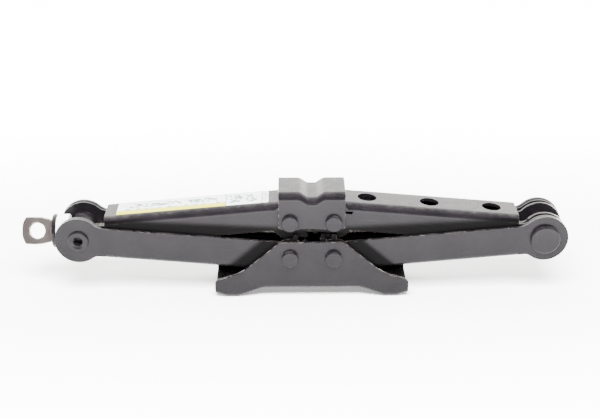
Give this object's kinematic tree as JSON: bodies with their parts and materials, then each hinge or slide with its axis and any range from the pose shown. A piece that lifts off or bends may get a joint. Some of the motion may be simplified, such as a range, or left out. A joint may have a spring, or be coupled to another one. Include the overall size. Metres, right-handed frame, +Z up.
{
  "type": "car jack",
  "caption": "Closed scissor jack: a channel base, four hinged channel arms with gear ends, a grooved saddle and a lead screw with an eye for a crank.",
  "frame": {"origin": "on the ground under the middle of the closed jack's length and width, 14.6 mm towards the eye from the base's middle", "axes": "+X along the lead screw from the eye end to the nut end, +Y across the jack to the rear, +Z up out of the saddle"},
  "size_m": [0.4276, 0.0548, 0.0864],
  "materials": {
    "black_paint": "semi-gloss black electro-coat on pressed steel",
    "pin_paint": "semi-gloss black paint on turned and riveted steel",
    "eye_paint": "thin worn black paint on forged steel",
    "screw_steel": "dark greased steel thread",
    "bright_zinc": "bright zinc plate",
    "label_film": "satin printed film, plain panels and bars"
  },
  "bodies": {
    "base": {"base_bracket": "black_paint", "base_left_pin": "pin_paint", "base_right_pin": "pin_paint"},
    "lower_left": {"lower_left_arm": "black_paint"},
    "lower_right": {"lower_right_arm": "black_paint"},
    "upper_left": {"upper_left_arm": "black_paint", "instruction_label": "label_film"},
    "upper_right": {"upper_right_arm": "black_paint", "upper_right_stiffener": "black_paint"},
    "saddle": {"saddle": "black_paint", "saddle_left_pin": "pin_paint", "saddle_right_pin": "pin_paint"},
    "left_trunnion": {"left_trunnion": "pin_paint", "thrust_bearing": "bright_zinc"},
    "right_trunnion": {"right_trunnion": "pin_paint", "right_front_cap": "pin_paint", "right_rear_cap": "pin_paint"},
    "screw": {"lead_screw": "screw_steel", "screw_eye": "eye_paint", "thrust_collar": "eye_paint", "screw_stop": "screw_steel"}
  },
  "joints": [
    {"name": "screw_turn", "type": "hinge", "parent": "left_trunnion", "child": "screw", "pos_m": [-0.16718, 0, 0.0483], "axis": [1, 0, 0], "range_deg": [0, 20880]},
    {"name": "lower_left_pivot", "type": "hinge", "parent": "base", "child": "lower_left", "pos_m": [-0.0028, 0, 0.034], "axis": [0, 1, 0], "range_deg": [0, 57.08]},
    {"name": "lower_right_pivot", "type": "hinge", "parent": "base", "child": "lower_right", "pos_m": [0.0312, 0, 0.034], "axis": [0, -1, 0], "range_deg": [0, 57.08]},
    {"name": "left_elbow", "type": "hinge", "parent": "lower_left", "child": "upper_left", "pos_m": [-0.16718, 0, 0.0483], "axis": [0, -1, 0], "range_deg": [0, 114.16]},
    {"name": "right_elbow", "type": "hinge", "parent": "lower_right", "child": "upper_right", "pos_m": [0.19558, 0, 0.0483], "axis": [0, 1, 0], "range_deg": [0, 114.16]},
    {"name": "left_trunnion_pivot", "type": "hinge", "parent": "lower_left", "child": "left_trunnion", "pos_m": [-0.16718, 0, 0.0483], "axis": [0, -1, 0], "range_deg": [0, 57.08]},
    {"name": "right_trunnion_pivot", "type": "hinge", "parent": "lower_right", "child": "right_trunnion", "pos_m": [0.19558, 0, 0.0483], "axis": [0, 1, 0], "range_deg": [0, 57.08]},
    {"name": "saddle_pivot", "type": "hinge", "parent": "upper_left", "child": "saddle", "pos_m": [-0.0028, 0, 0.0626], "axis": [0, 1, 0], "range_deg": [0, 57.08]}
  ],
  "couplings": [
    {"joint": "lower_left_pivot", "follows": "screw_turn", "ratio": 0.0027328},
    {"joint": "lower_right_pivot", "follows": "screw_turn", "ratio": 0.0027328},
    {"joint": "left_elbow", "follows": "screw_turn", "ratio": 0.0054656},
    {"joint": "right_elbow", "follows": "screw_turn", "ratio": 0.0054656},
    {"joint": "left_trunnion_pivot", "follows": "screw_turn", "ratio": 0.0027328},
    {"joint": "right_trunnion_pivot", "follows": "screw_turn", "ratio": 0.0027328},
    {"joint": "saddle_pivot", "follows": "screw_turn", "ratio": 0.0027328}
  ]
}
